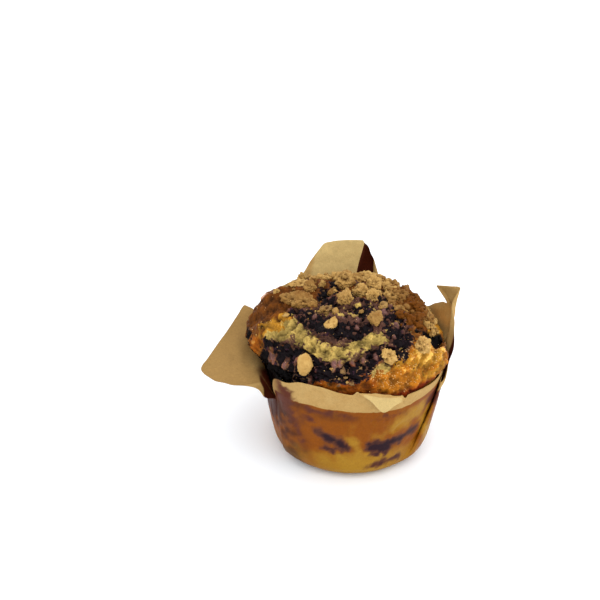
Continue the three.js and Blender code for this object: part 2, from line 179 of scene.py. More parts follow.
def through_stations(channel, u, turn_gain=0):
    """Shape-preserving cubic through one channel of the stations, closed after one turn."""
    count = len(stations)

    def value(i):
        return stations[i % count, channel] + i // count * turn_gain

    def step(i):
        return value(i + 1) - value(i)

    def slope(i):
        a, b = step(i - 1), step(i)
        together = np.where(a * b > 0, a + b, 1)
        return np.where(a * b > 0, 2 * a * b / together, 0)

    i = np.floor(u).astype(int)
    t = u - i
    d, s0, s1 = step(i), slope(i), slope(i + 1)
    return value(i) + t * (s0 + t * (3 * d - 2 * s0 - s1 + t * (s0 + s1 - 2 * d)))


def paper_points(u, v):
    """The sheet wrapped round the cake: u runs round by stations, and v from its middle to its edge."""
    foot, head = through_stations(0, u, 360), through_stations(1, u, 360)
    lift, hinge = through_stations(2, u), through_stations(3, u)
    reach = np.stack([through_stations(channel, u) for channel in (4, 5, 6)], -1)
    bend = np.clip((v - flat_end) / (bend_end - flat_end), 0, 1)
    climb = np.clip((v - bend_end) / (wall_end - bend_end), 0, 1)
    z = corner_radius * (1 - np.cos(bend * math.pi / 2)) + (hinge - corner_radius) * climb
    points = on_wall(foot, head, lift, z)
    points[:, :2] *= np.clip(v / flat_end, 0, 1)[:, None]
    below = on_wall(foot, head, lift, hinge - 1)
    start = on_wall(foot, head, lift, hinge) - below
    start *= 0.6 * np.linalg.norm(reach, axis=1, keepdims=True) / np.linalg.norm(start, axis=1, keepdims=True)
    t = np.clip((v - wall_end) / (1 - wall_end), 0, 1)[:, None]
    outward = np.stack([np.cos(np.radians(head)), np.sin(np.radians(head)), 0 * head], -1)
    bow = 4 * through_stations(7, u)[:, None] * t * (1 - t)
    return points + start * t * (1 - t) ** 2 + outward * bow + reach * (t + smooth(t)) / 2


def noise_at(points, size, seed=0.0, octaves=1):
    """Smooth noise from about -1 to 1, its lumps about size wide; size may differ along x, y and z."""
    scaled = points / size + seed
    if octaves == 1:
        return np.array([noise.noise(Vector(p)) for p in scaled])
    return np.array([noise.fractal(Vector(p), 0.8, 2.1, octaves) for p in scaled])


def mesh_points(mesh, name="co"):
    """A mesh's vertices, or their normals, as rows of x, y and z."""
    values = np.empty(3 * len(mesh.vertices), np.float32)
    mesh.vertices.foreach_get(name, values)
    return values.reshape(-1, 3).astype(float)


def put_points(mesh, points_mm):
    """Moves a mesh's vertices."""
    mesh.vertices.foreach_set("co", (points_mm * MM).astype(np.float32).ravel())
    mesh.update()


def give(mesh, **values):
    """Keeps one number a vertex under each name, for the materials."""
    for name, numbers in values.items():
        made = mesh.attributes.new(name, "FLOAT", "POINT")
        made.data.foreach_set("value", np.asarray(numbers, np.float32))


def new_piece(name, mesh, material, smooth_faces=True):
    """The mesh as an object of the scene, at the origin."""
    piece = bpy.data.objects.new(name, mesh)
    bpy.context.collection.objects.link(piece)
    mesh.materials.append(material)
    mesh.polygons.foreach_set("use_smooth", [smooth_faces] * len(mesh.polygons))
    return piece


def linear(code, alpha=1.0):
    """An sRGB hex colour as linear numbers."""
    parts = [int(code[i:i + 2], 16) / 255 for i in (0, 2, 4)]
    return [p / 12.92 if p <= 0.04045 else ((p + 0.055) / 1.055) ** 2.4 for p in parts] + [alpha]


def add_node(tree, kind, settings=None, inputs=None):
    """One shader node with its settings, its inputs set to values or linked to other nodes' outputs."""
    made = tree.nodes.new("ShaderNode" + kind)
    for name, value in (settings or {}).items():
        setattr(made, name, value)
    for name, value in (inputs or {}).items():
        if isinstance(value, bpy.types.NodeSocket):
            tree.links.new(value, made.inputs[name])
        else:
            made.inputs[name].default_value = value
    return made


def new_material(name):
    """A material, its node tree and its shader."""
    material = bpy.data.materials.new(name)
    material.use_nodes = True
    return material, material.node_tree, material.node_tree.nodes["Principled BSDF"]


def texture(tree, size, **settings):
    """Noise through the piece, in lumps of that size in mm."""
    place = add_node(tree, "TexCoord").outputs["Object"]
    made = add_node(tree, "TexNoise", {}, {"Vector": place, "Scale": 1 / (size * MM), **settings})
    return made.outputs["Fac"]


def blend(tree, share, first_code, last_code):
    """From the first colour where the share is 0 to the last where it is 1."""
    inputs = {0: share, 6: linear(first_code), 7: linear(last_code)}
    return add_node(tree, "Mix", {"data_type": "RGBA"}, inputs).outputs[2]


def emboss(tree, shader, height, strength, depth):
    """Fine relief from a noise, depth mm deep."""
    bump = add_node(tree, "Bump", {}, {"Strength": strength, "Distance": depth * MM, "Height": height})
    tree.links.new(bump.outputs[0], shader.inputs["Normal"])


def wash(tree, colour, layers, ragged):
    """Lays colours over one another, each where its attribute is high, with edges made ragged by a noise.

    A layer is an attribute, a colour, the values at which it begins and is full, and how ragged its edge is.
    """
    for attribute, code, low, high, raggedness in layers:
        field = add_node(tree, "Attribute", {"attribute_name": attribute}).outputs["Fac"]
        torn = add_node(tree, "Math", {"operation": "MULTIPLY_ADD"}, {0: ragged, 1: raggedness, 2: field})
        share = add_node(tree, "MapRange", {"interpolation_type": "SMOOTHSTEP"}, {
            "Value": torn.outputs[0], "From Min": low + raggedness / 2, "From Max": high + raggedness / 2,
        })
        laid = {0: share.outputs[0], 6: colour, 7: linear(code)}
        colour = add_node(tree, "Mix", {"data_type": "RGBA"}, laid).outputs[2]
    return colour


def shaded(tree, colour, field, first, last, first_light, last_light):
    """Multiplies a colour by first_light where the field is first, and by last_light where it is last."""
    light = add_node(tree, "MapRange", {}, {
        "Value": field, "From Min": first, "From Max": last, "To Min": first_light, "To Max": last_light,
    })
    return add_node(tree, "Mix", {"data_type": "RGBA", "blend_type": "MULTIPLY"}, {
        0: 1.0, 6: colour, 7: light.outputs[0],
    }).outputs[2]


# Brown baking parchment: pale tan, matt and fibrous where it is dry, and amber with a soft grease shine where
# the cake lay against it. Berry juice has soaked through it in blots.
cloud_size = 5  # mm, of the uneven tone of the pulp
fibre_size = 0.9  # mm, the flecks in the paper: real fibres are finer, and these are as fine as will show
crinkle_size = 1.6  # mm, the small crinkles of baked paper
parchment, tree, shader = new_material("parchment_baked_greasy")
mottle = texture(tree, cloud_size, Detail=4.0, Roughness=0.6)
fleck = texture(tree, fibre_size, Detail=3.0, Roughness=0.65, Distortion=1.2)
dry_tone = blend(tree, mottle, "a37c44", "b89962")
amber_layers = [
    # painted shade on the left corner, over paper that is a little browner
    ("dull", "957443", 0.2, 0.9, 0.2),
    ("cream", "bda26a", 0.3, 0.8, 0.1),
    # painted light where light comes through the right panel, over its oil-soaked gold
    ("glow", "c8924c", 0.1, 1.3, 0.6),
    ("soak", "7e4206", 0.3, 0.7, 0.25),
    ("brown", "441f0b", 0.1, 0.9, 0.5),
    ("gold", "9c7220", 0.05, 1.05, 0.5),
    ("stain", "54291c", 0.2, 1.0, 0.4),
    ("berry", "5a3220", 0.1, 0.6, 0.4),
    ("berry", "26121a", 0.35, 0.95, 0.4),
    # painted shade in the folds, over paper browned by the fat
    ("rust", "3e1406", 0.2, 0.7, 0.3),
]
tone = wash(tree, dry_tone, amber_layers, mottle)
tone = shaded(tree, tone, fleck, 0.35, 0.7, 0.86, 1.08)
tree.links.new(tone, shader.inputs["Base Color"])
soaked = add_node(tree, "Attribute", {"attribute_name": "soak"}).outputs["Fac"]
matt = add_node(tree, "MapRange", {}, {"Value": soaked, "To Min": 0.78, "To Max": 0.45})
shader.inputs["Specular IOR Level"].default_value = 0.06
tree.links.new(matt.outputs[0], shader.inputs["Roughness"])
emboss(tree, shader, texture(tree, crinkle_size, Detail=4.0), 0.35, 0.25)

sheet_grid = bmesh.new()  # its x becomes the way round and its y the way out
bmesh.ops.create_grid(sheet_grid, x_segments=430, y_segments=104, size=1)
flat = np.array([v.co[:] for v in sheet_grid.verts])
around_u = (flat[:, 0] + 1) / 2 * len(stations)
out_v = (flat[:, 1] + 1) / 2
wrapped = paper_points(around_u, out_v)
for vertex, point in zip(sheet_grid.verts, wrapped):
    vertex.co = point * MM
case_mesh = bpy.data.meshes.new("parchment_case")
u_layer = sheet_grid.verts.layers.float.new("around")
v_layer = sheet_grid.verts.layers.float.new("out")
for vertex, u, v in zip(sheet_grid.verts, around_u, out_v):
    vertex[u_layer] = u
    vertex[v_layer] = v
bmesh.ops.remove_doubles(sheet_grid, verts=sheet_grid.verts, dist=0.002 * MM)
sheet_grid.to_mesh(case_mesh)
sheet_grid.free()

points = mesh_points(case_mesh) / MM
outward = mesh_points(case_mesh, "normal")
around_u = np.array([d.value for d in case_mesh.attributes["around"].data])
out_v = np.array([d.value for d in case_mesh.attributes["out"].data])
azimuth = np.degrees(np.arctan2(points[:, 1], points[:, 0])) % 360
height = points[:, 2]
loose = smooth((out_v - wall_end) / 0.2)  # 0 on the wall and 1 on the corners that stand free

# Relief: ripples, bulges and tucks where the paper clings, and creases where it is free
ripple = noise_at(points, np.array([2.6, 2.6, 16]), 3.1) * smooth(height / 12)
creases = 0.5 - np.abs(noise_at(points, 9.0, 8.7))
crumple = noise_at(points, 4.2, 5.5)
bulge = noise_at(points, 11.0, 2.9) * smooth(height / 15)
tucks = smooth(1 - np.abs(noise_at(points, np.array([7, 7, 26]), 4.9)) / 0.12) * smooth((height - 8) / 14)
points += outward * ((0.14 * ripple + 0.45 * bulge - 0.3 * tucks) * (1 - loose))[:, None]
points += outward * (loose * (0.7 * creases + 0.3 * crumple))[:, None]
points[:, 2] = np.maximum(points[:, 2], paper / 2)
put_points(case_mesh, points)

# The height up to which the batter touched the paper
batter_line = 39.6 + 1.4 * window(azimuth, 240, 40) - 1.4 * window(azimuth, 305, 40)
wander = noise_at(points, 6.0, 1.3)


def strokes(across, up, marks):
    """How many mm a place lies inside a patch of broad strokes: from x, y to x, y, and a half width."""
    best = np.full(np.shape(across), -99.0)
    for x0, y0, x1, y1, half in marks:
        run_x, run_y = x1 - x0, y1 - y0
        t = np.clip(((across - x0) * run_x + (up - y0) * run_y) / (run_x ** 2 + run_y ** 2), 0, 1)
        best = np.maximum(best, half - np.hypot(across - x0 - t * run_x, up - y0 - t * run_y))
    return best


# Stains on the unrolled wall, in mm: x from the middle of the front to the right, y up from the table
stain_radius = 38  # radius at which the wall is unrolled
berry_stains = [
    (-13, 26.6, -9, 24.4, 1.9), (-9, 24, -4, 21.6, 2.6), (-5, 21, -0.6, 19.2, 1.7),
    (-10.6, 17.4, -7, 16.6, 1.0), (-6, 18, -3.6, 17.2, 0.7), (11, 18.5, 17, 17.5, 3.1),
    (16, 19.4, 24, 19.8, 2.2), (24, 20.4, 33, 22, 1.1), (10, 14.8, 13, 14.2, 0.8),
    (8.6, 20.5, 12, 21.5, 1.0), (8.5, 6.5, 13, 7.5, 0.8), (13, 8, 18, 8.6, 0.9), (20, 9, 25, 9, 0.7),
    (57, 24, 64, 19, 1.6), (60, 20, 63, 15, 2.0), (78, 11, 81, 14, 1.2), (90, 27, 104, 23, 1.5),
    (97, 21, 99, 17, 2.2), (112, 12, 117, 14, 0.9), (-62, 17, -50, 23, 1.7), (-57, 15, -54, 20, 2.2),
    (-90, 25, -77, 20, 1.4), (-84, 20, -82, 16, 1.9), (-104, 12, -98, 11, 1.0),
]
purple_stains = [
    (-34, 46, -28, 42, 6.4), (-28, 45, -23.5, 41.5, 2.6), (-30, 42, -26.5, 35, 3.2),
    (-26.5, 35, -23, 27, 2.2), (-23, 27, -20.5, 19.5, 1.4), (-16, 38, -8, 38, 1.8), (-8, 38, 0, 36.5, 1.6),
    (-18, 34, -12, 30, 1.2), (12, 36, 22, 35, 1.0), (40, 34, 52, 36, 3.4), (84, 34, 100, 36, 3.4),
    (-70, 34, -52, 36, 4), (-110, 34, -96, 36, 3.4),
]
gold_marks = [
    (1.6, 22, 5, 17, 3), (-3, 13, 9, 14, 4), (19, 29, 33, 31, 5), (36, 24, 44, 12, 4.5),
    (38, 34, 40, 26, 3),
]
along = ((azimuth - 270 + 180) % 360 - 180) * math.radians(1) * stain_radius
rough_edge = 1.1 * wander + 1.6 * noise_at(points, 2.8, 6.1, octaves=5)
berry = strokes(along, height, berry_stains) + rough_edge
stain = strokes(along, height, purple_stains) + 1.6 * rough_edge
head = through_stations(1, around_u, 360)  # which line of the paper a place is on, by its azimuth at the rim
stuck = smooth((batter_line + 0.8 * wander - height) / 1.2 + 0.5) * (1 - loose)
gold = smooth((19 - height + 5 * wander) / 9) * (0.3 + 0.7 * window(azimuth, 280, 60))
cloud = noise_at(points, 8.0, 12.4, octaves=3)
golden_share = smooth((strokes(along, height, gold_marks) + 2 + 3 * cloud) / 6)
golden_haze = 0.5 * smooth(0.2 + 0.8 * cloud) * window(azimuth, 285, 50)
gold = np.maximum.reduce([gold, golden_haze, 0.85 * golden_share])
brown = window(azimuth, 222, 34) * (0.9 + 0.9 * cloud)
brown += 0.5 * smooth((44 - height) / 8) * smooth((height - 30) / 6) * window(azimuth, 262, 30)

# Painted shade inside the folds, over paper that the fat has browned: the left wall, the left gusset, the
# open back pleat and the right edge
left_wall = smooth((head - 190) / 16) * smooth((223 - head) / 8) * smooth((height - 12 + 8 * wander) / 16)
left_gusset = smooth((points[:, 0] + 40 - 0.3 * (46 - height) + 1.5 * wander) / 2)
left_gusset = left_gusset * smooth((head - 200) / 2) * smooth((221 - head) / 2)
back_pleat = smooth((head - 438) / 2) * smooth((450.6 - head) / 0.8)
right_edge = window(head, 356, 6) * smooth((height - 30) / 10)
rust = np.maximum.reduce([left_wall * (1 - loose), left_gusset * loose, back_pleat * loose, right_edge])

# Paler paper on the free corners; painted shade on the left corner, whose paper is also a little browner; and
# painted light where light comes through the right panel
front_flap = smooth((head - 275) / 4) * smooth((303 - head) / 5)
back_corner = 0.95 * smooth((head - 446) / 4) * smooth((486 - head) / 12)
right_panel = smooth((head - 362) / 6) * smooth((400 - head) / 16) * smooth((66 - height + 5 * wander) / 12)
give(
    case_mesh,
    soak=stuck,
    cream=np.maximum(front_flap, back_corner) * loose,
    dull=smooth((head - 148) / 4) * smooth((210 - head) / 2) * loose,
    glow=right_panel * loose,
    gold=gold * stuck,
    brown=np.clip(brown, 0, 1) * stuck,
    rust=rust,
    stain=np.clip(stain / 5 + 0.5, 0, 1) * np.maximum(stuck, window(head, 234, 26)),
    berry=np.clip(berry / 5 + 0.5, 0, 1) * stuck,
)
parchment_case = new_piece("parchment_case", case_mesh, parchment)
sheet_thickness = 0.3
thick = parchment_case.modifiers.new("paper thickness", "SOLIDIFY")
thick.thickness = sheet_thickness * MM
thick.offset = 0
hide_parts("paper_case")
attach(parchment_case, "root")


# ---- The cake ---------------------------------------------------------------------------------------------
# A berry batter that rose out of its case and browned: smooth sugary crust lobes at its rim, torn yellow
# crumb in its middle, and the dark filling that broke through between them.
gap = 0.3  # clearance between separate pieces
crust_line = 44  # height at which the cake leaves the paper
dome_top = 69.5  # height of the dome without its swellings and crumbs
dome_power = 2.4  # fullness of the dome: 2 is an ellipsoid, more has steeper shoulders
clear = paper + gap + 0.2  # from the outside of the case's wall to the cake
# azimuth, half width in degrees, and how far the crust stands out over the case
overhangs = [(180, 38, 7.6), (206, 24, 2.4), (340, 24, 2.6)]
# place from above, how far it stands up, and how wide it is
swellings = [
    (24, -29, 2.6, 10),  # smooth crust lobe at the front right
    (34, -10, -7, 5),  # hollow between that lobe and the next
    (36, 9, -5, 8),  # sunken shoulder at the right
    (22, -4, -2.4, 7),  # trough behind the berry patch
    (8, -14, 1.6, 8),  # berry patch
    (-8, -24, 1.2, 9),  # torn crumb in front of it
    (-30, -2, -1.6, 9),  # sunken middle of the left shoulder
    (-35, 8, 4.2, 9),  # full back of the left shoulder
    (-25, 16, 2.2, 8),
    (-20, 25, 2, 8),
    (20, 15, -1.4, 8),  # lower back at the right
    (-43, -5, -6, 3.6),  # notch in the rim at the left
    (-40, -12, 3.5, 4),  # small crust lobe in front of it
    (-14, -37, 1.2, 8),  # dark berry band at the front left
    (0, 26, -0.6, 12),  # back of the dome
]


def random_from(seed):
    """Seeded random numbers from 0 to 1."""
    state = seed
    while True:
        state = state * 16807 % 2147483647
        yield state / 2147483647


# Crags of the torn top: bumps and dips of uneven width, as many as crag_count
crag_count = 130
crag_span, crag_reach = 44, 40  # half the square they are drawn in, and how far from the middle they are kept
crag_draw = random_from(5171)
crags = []
while len(crags) < crag_count:
    at_x, at_y = (2 * next(crag_draw) - 1) * crag_span, (2 * next(crag_draw) - 1) * crag_span
    wide = 2.2 + 2.8 * next(crag_draw)
    rise = (2 * next(crag_draw) - 1) * 0.42 * wide
    if math.hypot(at_x, at_y) < crag_reach:
        crags.append((at_x, at_y, rise, wide))


def overhang(azimuth):
    """How far the crust stands out over the case."""
    return sum(out * window(azimuth, middle, span) for middle, span, out in overhangs)


def crust_radius(azimuth):
    """Radius of the cake where it leaves the paper."""
    return wall_radius(crust_line, azimuth) - clear


def dome_height(x, y):
    """Height of the top: a rounded dome with its swellings, hollows and crags."""
    azimuth = np.degrees(np.arctan2(y, x))
    over = overhang(azimuth)
    share = np.minimum(1, np.hypot(x, y) / (crust_radius(azimuth) + over))
    base = crust_line + 0.9 * over
    z = base + (dome_top - base) * (1 - share ** dome_power) ** (1 / dome_power)
    fade = smooth((1 - share) * 8)
    for at_x, at_y, rise, wide in swellings + crags:
        far = ((x - at_x) ** 2 + (y - at_y) ** 2) / wide ** 2
        z = z + np.where(far < 9, rise * np.exp(-far) * fade, 0)
    return z


def dome_normal(x, y):
    """The way up from the dome there, from its slope over a small step d."""
    d = 0.4
    dx = (dome_height(x + d, y) - dome_height(x - d, y)) / (2 * d)
    dy = (dome_height(x, y + d) - dome_height(x, y - d)) / (2 * d)
    return Vector((-dx, -dy, 1)).normalized()


def cake_points(azimuth, t):
    """The cake's skin: t runs from the middle of its top over the rim, at rim_t, to the bottom's middle."""
    rim_t, lip_t, wall_t, bend_t = 0.88, 0.90, 0.96, 0.98
    turned = np.radians(azimuth)
    over = overhang(azimuth)
    crust = crust_radius(azimuth)
    lean = np.clip(t / rim_t, 0, 1) * math.pi / 2
    share = np.sin(lean) ** (2 / dome_power)
    r = (crust + over) * share
    z = dome_height(r * np.cos(turned), r * np.sin(turned))
    lip = np.clip((lip_t - t) / (lip_t - rim_t), 0, 1)
    on_lip = t > rim_t
    r = np.where(on_lip, crust + over * np.sqrt(lip), r)
    z = np.where(on_lip, crust_line + (0.4 + 0.9 * over) * lip, z)
    down = np.clip((wall_t - t) / (wall_t - lip_t), 0, 1)
    wall_z = corner_radius + (crust_line - corner_radius) * down
    on_side = t > lip_t
    r = np.where(on_side, wall_radius(wall_z, azimuth) - clear, r)
    z = np.where(on_side, wall_z, z)
    floor = paper + gap
    foot = wall_foot - corner_radius
    bend = np.clip((bend_t - t) / (bend_t - wall_t), 0, 1) * math.pi / 2
    in_bend = t > wall_t
    r = np.where(in_bend, foot + (corner_radius - clear) * np.sin(bend), r)
    z = np.where(in_bend, floor + (corner_radius - floor) * (1 - np.cos(bend)), z)
    r = np.where(t > bend_t, foot * np.clip((1 - t) / (1 - bend_t), 0, 1), r)
    return np.stack([r * np.cos(turned), r * np.sin(turned), z], -1)


# Patches of the top, seen from above in mm: broad strokes from x, y to x, y, and half a width
smile_marks = [
    (-24.6, -14, -20.6, -19.5, 3.1), (-21, -20.5, -16, -26.5, 3.0), (-15.5, -27.4, -10, -29.8, 2.7),
    (-10, -30, -3, -30.8, 2.9), (-3, -30.4, 3, -28.8, 2.5), (3, -28, 9, -24.8, 2.5),
    (8.6, -24.4, 12.8, -23.4, 2.6), (-34, -17, -27, -18.2, 1.3),
]
crumb_marks = [
    (9, -34.6, 15.5, -31.4, 1.1), (18.4, 11, 20.6, 2, 0.6), (20.6, 2, 22.2, -7.7, 0.6),
    (22.2, -7.7, 23.1, -16.6, 0.6), (-31, -16.6, -24.6, -15.6, 2.0), (-27, -11.6, -24.4, -14, 1.8),
]
berry_marks = [
    (-25.2, -7.5, -13.6, -11.5, 1.6), (-19, -11.5, -12.5, -17, 3.6), (-12, -18, -6, -21.4, 4.4),
    (-6, -21.5, 1, -22.4, 3.9), (1, -22, 6, -20.6, 2.4), (14, -20, 18, -19, 2.4), (16, -19, 20, -25, 3.6),
    (18, -11, 20, -18, 3.0), (16.6, 3, 18.8, -9, 2.0), (-35, -19.4, -27, -24.4, 3.2),
    (-34, -24, -27, -29, 3.4), (-27, -25.4, -17, -31.4, 4.0), (-22, -33, -14, -37, 3.2),
    (-17, -32.2, -8, -35.2, 3.0), (-8, -35.3, 2, -35.8, 2.3), (2, -35, 8, -32, 2.4),
    (7, -31.5, 13, -28.6, 2.2), (15, -28.5, 19.6, -27, 1.6), (-12.5, 8, -11, -2, 2.8),
    (-8, -4.5, -12, 0, 1.8), (5.2, -3.6, 4.6, 1.2, 1.1), (11.4, -2, 12.6, 12, 1.8),
    (22, -22, 24, -21.6, 1.4), (20.2, -13.7, 22.3, -22.9, 1.6), (-8, 3, -2, 4.4, 2.2), (-2, 4, 4, 0.6, 1.8),
    (-7.6, 8, -8.6, 16, 1.8), (3, 10.4, 1.6, 16, 1.7),
]
stained_marks = [
    (-13, -8, -3, -9, 3.0), (-3, -11, 7, -9, 4.6), (4, -14, 8, -12, 3.2), (12, -7, 15, -3, 4.2),
    (14, -13, 15.6, -16, 3.6), (13, -1, 16, 3, 2.4), (-30, -19.4, -24.6, -20.6, 0.8),
]
# Lumps of crumb and streusel that the berries have dyed: place from above, and half their width
dyed_lumps = [
    (-33, -21.3, 1.1), (-31.4, -22.8, 1.0), (-26.5, -26.4, 1.2), (-6.7, -33.6, 1.3), (-4.4, -33.6, 1.1),
    (0.6, -33.4, 0.8), (4.6, -32, 0.8), (-16.5, -35, 0.9), (-1.5, -20.6, 0.7), (1.8, -20.4, 0.8),
    (17.6, -15.4, 1.5), (17, -22, 0.8), (12.8, -10.2, 1.6), (-15.5, -12.4, 0.9), (2.6, -16.4, 1.1),
    (-3.4, -15.6, 0.9), (-22, -28.6, 0.8), (9.6, -30.6, 0.8),
]
golden_marks = [
    (33, -5, 36, 2, 2.6), (36, 2, 36.5, 12, 2.6), (-33.6, -13, -28, -10.4, 4.0),
    (-32, -15.6, -27, -14, 2.4), (17, -30.2, 23, -27.6, 1.5), (23, -27.6, 30, -22.6, 1.4),
    (30, -22.6, 37, -16.6, 1.5), (31, -27, 38, -20, 2.4),
]
lobe_marks = [(6, -38.4, 20, -34.4, 3.2), (18, -32.6, 30, -25, 4.4), (27, -25, 38, -17, 4.8)]
# Hollows and gaps that are painted nearly black as shade
deep_marks = [
    (31.5, -9.6, 38, -4.6, 2.9), (-45, -4, -42.4, -8, 1.6), (-43.6, -9, -41.4, -11.4, 0.8),
    (-37.4, -12, -36.6, -15.4, 0.6), (-39.4, -19.2, -36, -22, 1.7), (-37, -19, -33, -26, 1.6),
    (24.4, 1, 25.4, -8, 0.7), (-12, 2.6, -11, 6, 1.4), (26, -15.6, 30.7, -9.6, 1.5),
]
brown_marks = [
    (-40, 4, -34, -6, 8), (-36, 14, -30, 4, 9), (-28, 26, -20, 12, 9), (18, 4, 30, -6, 8),
    (-33, -6, -28, 2, 4), (-16, 12, 16, 16, 12),
]
# Sugar on the back-left rim of the crust, with a painted highlight where the rim catches the light
frosted_marks = [
    (-40, 5, -34, 7.6, 0.9), (-34, 7.6, -27, 11.4, 0.9), (-25, 21.6, -16, 24.6, 1.1),
    (-16, 24.6, -9, 25, 0.9),
]

# The skin starts as a ball, whose rings from top to bottom become the rings of the cake
cake_ball = bmesh.new()
bmesh.ops.create_uvsphere(cake_ball, u_segments=400, v_segments=232, radius=1)
round_points = np.array([v.co[:] for v in cake_ball.verts])
turn = np.degrees(np.arctan2(round_points[:, 1], round_points[:, 0]))
skin = cake_points(turn, np.arccos(np.clip(round_points[:, 2], -1, 1)) / math.pi)
for vertex, point in zip(cake_ball.verts, skin):
    vertex.co = point * MM
cake_mesh = bpy.data.meshes.new("berry_cake")
cake_ball.to_mesh(cake_mesh)
cake_ball.free()

points = mesh_points(cake_mesh) / MM
outward = mesh_points(cake_mesh, "normal")
on_top = smooth((points[:, 2] - crust_line + 1.5) / 2)
swirled = points + 1.2 * noise_at(points, 2.0, 7.7)[:, None]


def lumps_at(places, size):
    """Rounded lumps about size wide: 0 in a lump's middle to 0.7 at its edge, and each lump's own number."""
    found = [noise.voronoi(Vector(p / size)) for p in places]
    middles = np.array([nearest[0][:] for _, nearest, *_ in found])
    own = np.sin(middles @ np.array([12.9898, 78.233, 37.719])) * 43758.5453 % 1
    return np.array([distances[0] for distances, *_ in found]), own


# The crumb's larger and smaller lumps, and the raggedness that they give to every zone's edge
cells, cell_own = lumps_at(swirled, 2.6)
clots, clot_own = lumps_at(swirled, 1.3)
ragged = 1.3 * noise_at(points, 3.4, 4.4, octaves=5) + 1.6 * (cell_own - 0.5) + 1.6 * (clot_own - 0.5)

# How many mm each place lies inside each zone. Where two meet, one gives way to the other.
across, up = points[:, 0], points[:, 1]
smile = strokes(across, up, smile_marks) + 0.8 * ragged
stained = strokes(across, up, stained_marks) + 0.8 * ragged
berry = strokes(across, up, berry_marks) + 1.1 * ragged
berry = np.maximum(berry, np.minimum(stained, 6 * (0.42 - cell_own)))
berry = np.where(smile > berry, np.minimum(berry, -smile), berry)
bits = np.minimum(berry - 1, 9 * (clot_own - 0.88))
crumb = np.maximum(smile, strokes(across, up, crumb_marks) + 0.7 * ragged)
pale_bits = np.minimum(stained, 7 * (cell_own - 0.78))
stained = np.maximum.reduce([stained, bits, np.minimum(2 + smile, 1.5 - smile) - 3 * clot_own])
crumb = np.maximum(crumb, np.minimum(stained, 0.6))
dyed = np.max([half - np.hypot(across - x, up - y) for x, y, half in dyed_lumps], axis=0) + 0.25 * ragged
berry = np.where(bits > 0, np.minimum(berry, -bits), berry)

# Crust lobes, painted shade in the hollows and gaps, and browned shoulders; strip is the crust that shows
# under the filling in front
rim_turn = (turn + 360) % 360
strip = np.minimum(np.minimum(rim_turn - 247, 279 - rim_turn) * 0.65, 52.2 - points[:, 2]) + 0.6 * ragged
lobe = np.maximum(strokes(across, up, lobe_marks) + 0.8 * ragged, strip)
golden = strokes(across, up, golden_marks) + ragged
deep = strokes(across, up, deep_marks) + 0.4 * ragged
browned = strokes(across, up, brown_marks) + ragged
frosted = strokes(across, up, frosted_marks) + 0.5 * ragged
berry = np.where(strip > 0, np.minimum(berry, -strip), berry)
berry = np.where(dyed > -0.4, np.minimum(berry, -0.4 - dyed), berry)
left_lobe = strokes(across, up, [(-42, -10.8, -38.4, -15.8, 1.8)])
left_lobe = np.minimum.reduce([left_lobe, points[:, 2] - 51.5, 57.4 - points[:, 2]]) + 0.4 * ragged
# painted shade in the gap where the crust meets the paper at the left
left_foot = np.minimum(np.minimum(rim_turn - 194, 232 - rim_turn) * 0.65, 51.6 - points[:, 2])
deep = np.maximum(deep, left_foot + 0.4 * ragged)
lobe = np.maximum(lobe, left_lobe)
golden = np.maximum(golden, left_lobe - 2.2)

# The middle tore open as it rose: everything there that isn't pale crumb is stained
torn_middle = strokes(across, up, [(-22, -12, -12, -24, 9), (-12, -22, 14, -22, 10), (-8, -8, 16, -12, 9)])
torn = smooth(0.5 + np.maximum.reduce([berry, crumb, torn_middle]) / 1.5)
stained = np.maximum(stained, np.minimum(torn_middle, -0.3 - smile))
stained = np.where(golden > -1, np.minimum(stained, -1 - golden), stained)

# Relief: lumps of torn crumb, low blisters of crust, and zones that lie deeper or stand higher
rough = noise_at(points, 3.6, 2.2, octaves=5)
pores = noise_at(points, 0.8, 6.6, octaves=2)
lumps = torn * (
    1.2 * (0.45 - cells) + 0.9 * (0.4 - clots) + 1.1 * rough + 0.8 * (cell_own - 0.5) + 0.2 * pores
)
blisters = (1 - torn) * (0.9 * rough + 0.5 * (0.4 - cells) + 0.14 * pores)
sunk = 0.6 * smooth(berry) + 1.6 * smooth(deep / 2)
sunk = sunk - 0.7 * smooth(smile / 2) - 0.5 * smooth((dyed + 0.4) / 1.2)
points += outward * ((lumps + blisters - sunk) * on_top)[:, None]
put_points(cake_mesh, points)
# painted shade: darker in the hollows of the relief, lighter on its bumps
level = 0.5 - 0.38 * (lumps / 1.1 + blisters / 0.6)
slope_down = smooth((50 - points[:, 2]) / 8)
strip_end = 0.45 * smooth((15 - across) / 7) * smooth((-30 - up) / 4)
# where the painted highlight lies: on the raised blisters, and more towards the right
bloom = smooth((blisters - 0.1) / 0.5) + 0.5 * smooth((across - 22) / 8)


def edged(depth):
    """0 well outside a patch, 0.5 on its edge and 1 well inside."""
    return np.clip(depth / 3 + 0.5, 0, 1)


give(
    cake_mesh,
    berry=edged(berry),
    dyed=edged(1.5 * dyed),
    crumb=edged(crumb),
    stained=edged(np.where(pale_bits > 0, np.minimum(stained, -pale_bits), stained)),
    lobe=edged(lobe),
    golden=edged(golden),
    deep=edged(deep),
    browned=edged(browned),
    frosted=edged(frosted),
    pit=np.clip(level, 0, 1),
    # berry purple on the tops of the filling's lumps, with a painted highlight
    purple=smooth(berry + 1) * smooth((0.5 - cells) / 0.3) * smooth((clot_own - 0.3) / 0.5),
    edge=slope_down * on_top + strip_end + 0.4 * smooth(left_lobe + 0.8),
    crown=smooth(lobe / 2) * bloom * smooth((points[:, 2] - 50) / 6),
)

